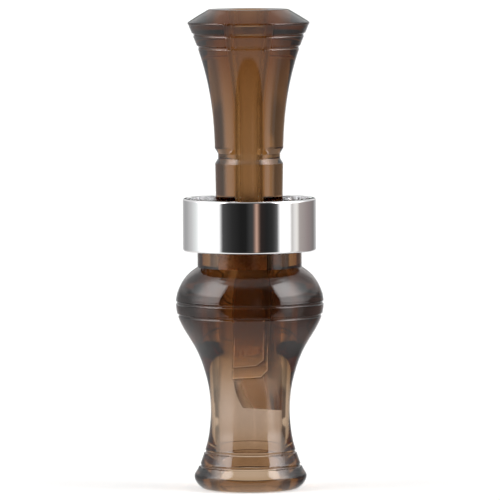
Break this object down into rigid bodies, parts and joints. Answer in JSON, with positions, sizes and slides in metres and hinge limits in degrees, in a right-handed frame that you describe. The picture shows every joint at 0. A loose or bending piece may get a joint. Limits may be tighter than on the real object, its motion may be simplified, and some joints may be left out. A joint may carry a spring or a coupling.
{
  "type": "duck call",
  "caption": "Reed duck call: turned translucent barrel, polished metal band and a flared pull-out stopper that carries the tone board, film reeds, clamping wedge and O-ring seals.",
  "frame": {"origin": "centre of the flat end of the mouthpiece lip", "axes": "+Z along the call's axis from the mouthpiece towards the exhaust end; -Y out of the tone board towards the reeds; +X across the reeds"},
  "size_m": [0.038, 0.038, 0.1232],
  "materials": {
    "barrel_acrylic": "polished smoky-brown translucent acrylic",
    "stopper_acrylic": "polished smoky-brown translucent acrylic",
    "polished_band": "mirror polished, fine turning marks on the ends",
    "seal_rubber": "satin black nitrile rubber",
    "reed_film": "translucent frosted polyester film",
    "wedge_cork": "fine-grained composition cork"
  },
  "bodies": {
    "barrel": {"barrel": "barrel_acrylic", "band": "polished_band"},
    "seals": {"lower_o_ring": "seal_rubber", "upper_o_ring": "seal_rubber"},
    "stopper": {"stopper": "stopper_acrylic"},
    "wedge": {"wedge": "wedge_cork"},
    "lower_reed": {"lower_reed": "reed_film"},
    "upper_reed": {"upper_reed": "reed_film"}
  },
  "joints": [
    {"name": "stopper_pull", "type": "slide", "parent": "barrel", "child": "seals", "axis": [0, 0, 1], "range_m": [0, 0.058]},
    {"name": "stopper_turn", "type": "hinge", "parent": "seals", "child": "stopper", "pos_m": [0, 0, 0.0704], "axis": [0, 0, 1], "continuous": true},
    {"name": "lower_reed_flex", "type": "hinge", "parent": "stopper", "child": "lower_reed", "pos_m": [0, -0.00038, 0.0553], "axis": [1, 0, 0], "range_deg": [0, 2.1], "deforming": ["lower_reed"]},
    {"name": "upper_reed_flex", "type": "hinge", "parent": "stopper", "child": "upper_reed", "pos_m": [0, -0.00065, 0.0553], "axis": [1, 0, 0], "range_deg": [0, 2.1], "deforming": ["upper_reed"]},
    {"name": "wedge_release", "type": "slide", "parent": "stopper", "child": "wedge", "axis": [0, -0.0087, -1], "range_m": [0, 0.012]}
  ],
  "couplings": [
    {"joint": "upper_reed_flex", "follows": "lower_reed_flex", "ratio": 1}
  ]
}
